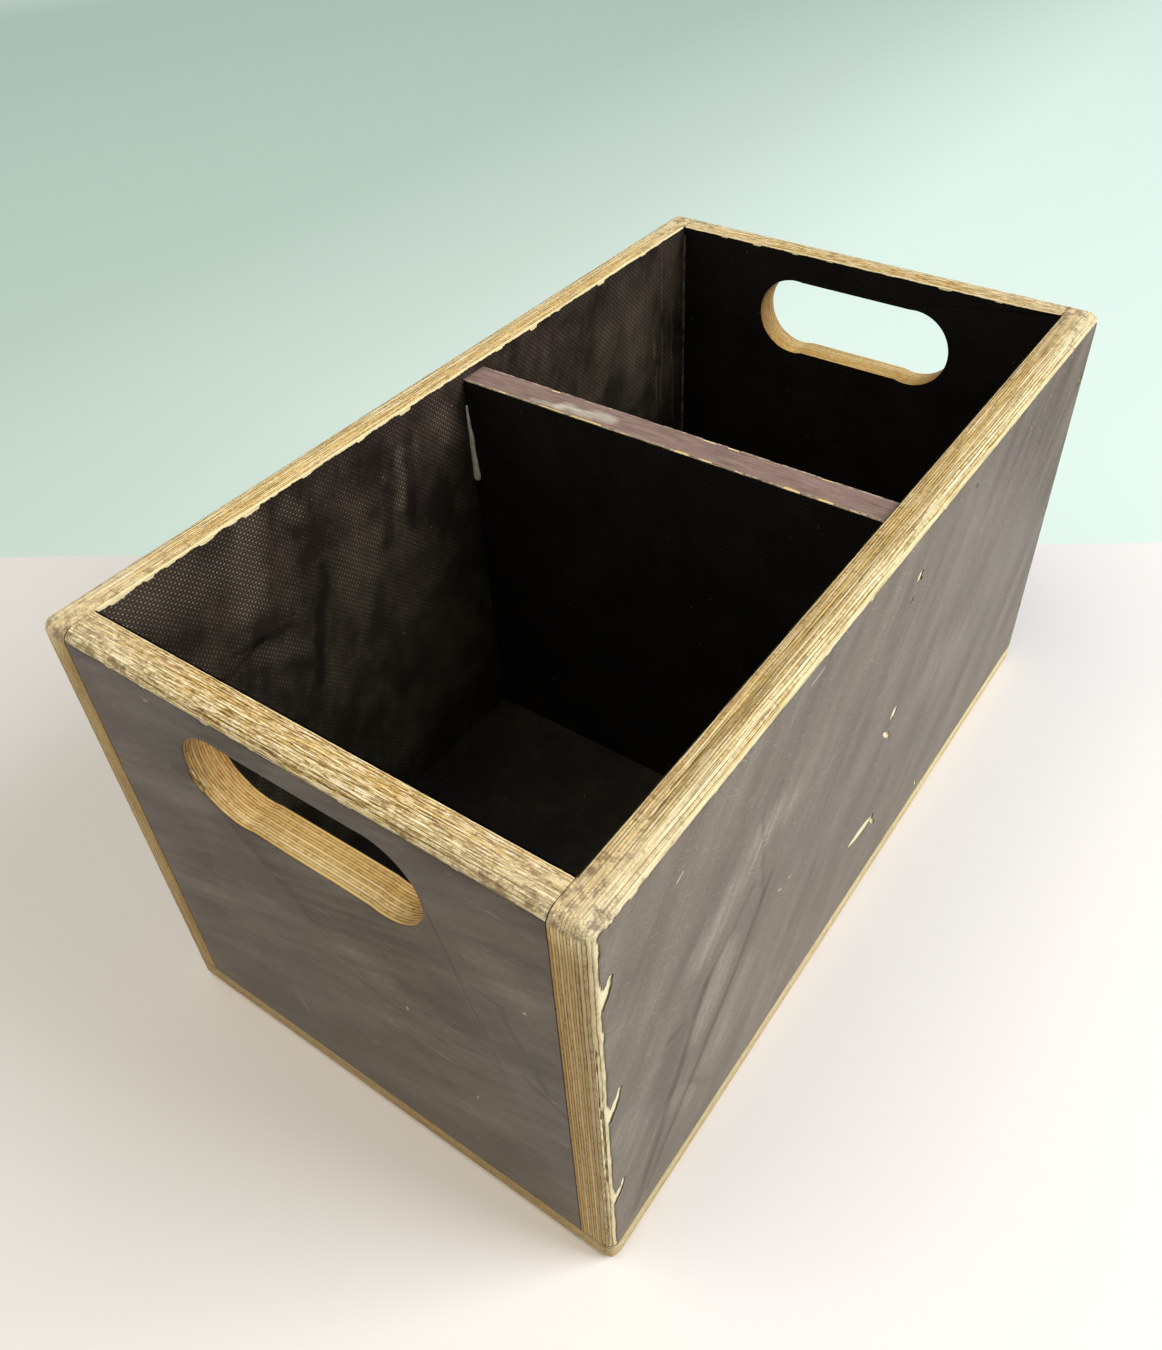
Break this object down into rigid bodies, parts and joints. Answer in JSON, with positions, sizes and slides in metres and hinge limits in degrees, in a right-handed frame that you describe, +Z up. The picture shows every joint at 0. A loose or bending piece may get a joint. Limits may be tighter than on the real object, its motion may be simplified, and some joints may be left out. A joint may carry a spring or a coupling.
{
  "type": "open tool box",
  "caption": "Open carrying box of film-faced birch plywood with a hand slot in each end and a fixed cross divider.",
  "frame": {"origin": "middle of the underside, on the surface that the box stands on", "axes": "+Z up, +Y along the length and away from the near end, +X to the right side panel"},
  "size_m": [0.29, 0.51, 0.27],
  "materials": {
    "birch_plywood": "bare, sawn and sanded, with the plies showing at the edges",
    "smooth_film": "satin phenolic resin film, hazed and scratched by use",
    "mesh_film": "phenolic resin film with a woven wire pattern pressed in, dusty",
    "edge_sealer": "matt reddish-brown edge sealer, chipped at the arrises",
    "dried_glue": "dried wood glue, pale and slightly glossy",
    "brad_steel": "plain wire"
  },
  "bodies": {
    "root": {"left_side": "birch_plywood", "right_side": "birch_plywood", "front_end": "birch_plywood", "rear_end": "birch_plywood", "bottom": "birch_plywood", "divider": "birch_plywood", "left_side_outer_film": "smooth_film", "left_side_inner_film": "mesh_film", "right_side_outer_film": "smooth_film", "right_side_inner_film": "mesh_film", "front_end_outer_film": "smooth_film", "front_end_inner_film": "mesh_film", "rear_end_outer_film": "smooth_film", "rear_end_inner_film": "mesh_film", "bottom_floor_film": "mesh_film", "divider_front_film": "mesh_film", "divider_rear_film": "mesh_film", "bottom_under_film": "smooth_film", "divider_edge_sealer": "edge_sealer", "glue_run_divider": "dried_glue", "glue_bead_rear_left": "dried_glue", "brads_left_front": "brad_steel", "brads_left_divider": "brad_steel", "brads_left_rear": "brad_steel", "brads_right_front": "brad_steel", "brads_right_divider": "brad_steel", "brads_right_rear": "brad_steel", "brads_bottom_left": "brad_steel", "brads_bottom_right": "brad_steel", "brads_bottom_front": "brad_steel", "brads_bottom_divider": "brad_steel", "brads_bottom_rear": "brad_steel"}
  },
  "joints": []
}
